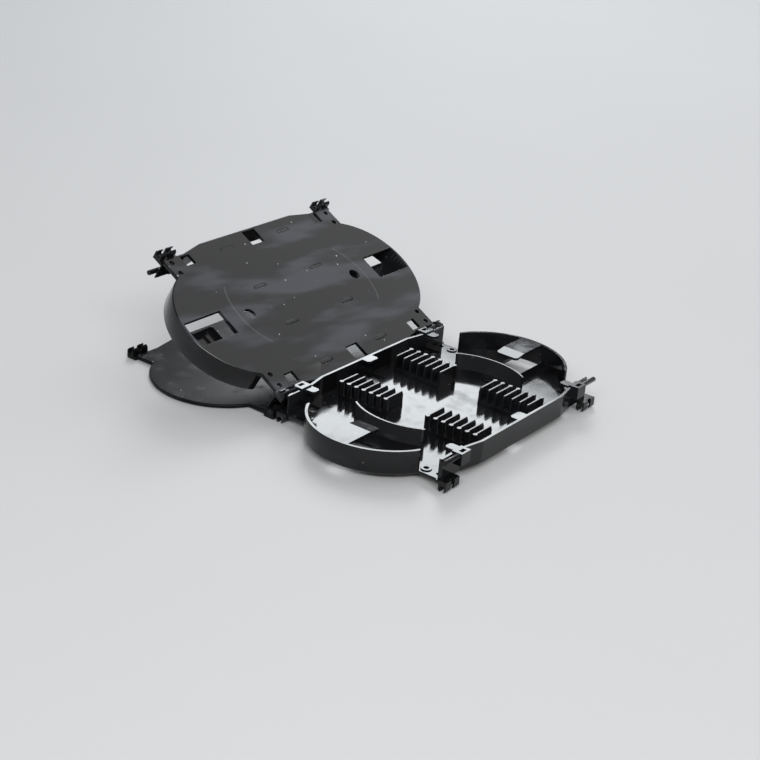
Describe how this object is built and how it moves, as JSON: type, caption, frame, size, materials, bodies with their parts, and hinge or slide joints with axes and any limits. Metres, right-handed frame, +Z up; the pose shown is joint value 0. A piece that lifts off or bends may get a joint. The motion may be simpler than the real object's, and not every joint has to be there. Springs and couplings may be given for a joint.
{
  "type": "splice tray",
  "caption": "Hinged stack of fibre splice trays with splice combs, coiling guides and retaining tabs, swung open on clip hinges, with a flat lid behind.",
  "frame": {"origin": "on the lower tray's underside, midway between its two fixing holes", "axes": "+X along the tray, +Y towards the hinge side, +Z up out of the lower tray"},
  "size_m": [0.185, 0.2225, 0.0708],
  "materials": {
    "tray_plastic": "glossy moulded ABS",
    "comb_plastic": "glossy moulded ABS",
    "lid_plastic": "glossy moulded ABS"
  },
  "bodies": {
    "lower": {"lower_tray": "tray_plastic", "lower_comb_front_left": "comb_plastic", "lower_comb_front_right": "comb_plastic", "lower_comb_rear_left": "comb_plastic", "lower_comb_rear_right": "comb_plastic"},
    "upper": {"upper_tray": "tray_plastic", "upper_comb_front_left": "comb_plastic", "upper_comb_front_right": "comb_plastic", "upper_comb_rear_left": "comb_plastic", "upper_comb_rear_right": "comb_plastic"},
    "lid": {"lid": "lid_plastic"}
  },
  "joints": [
    {"name": "tray_hinge", "type": "hinge", "parent": "lower", "child": "upper", "pos_m": [0, 0.0527, 0.0125], "axis": [1, 0, 0], "range_deg": [0, 150.4]},
    {"name": "lid_hinge", "type": "hinge", "parent": "upper", "child": "lid", "pos_m": [0, 0.05962, 0.00033], "axis": [1, 0, 0], "range_deg": [-100, 29.6]}
  ]
}
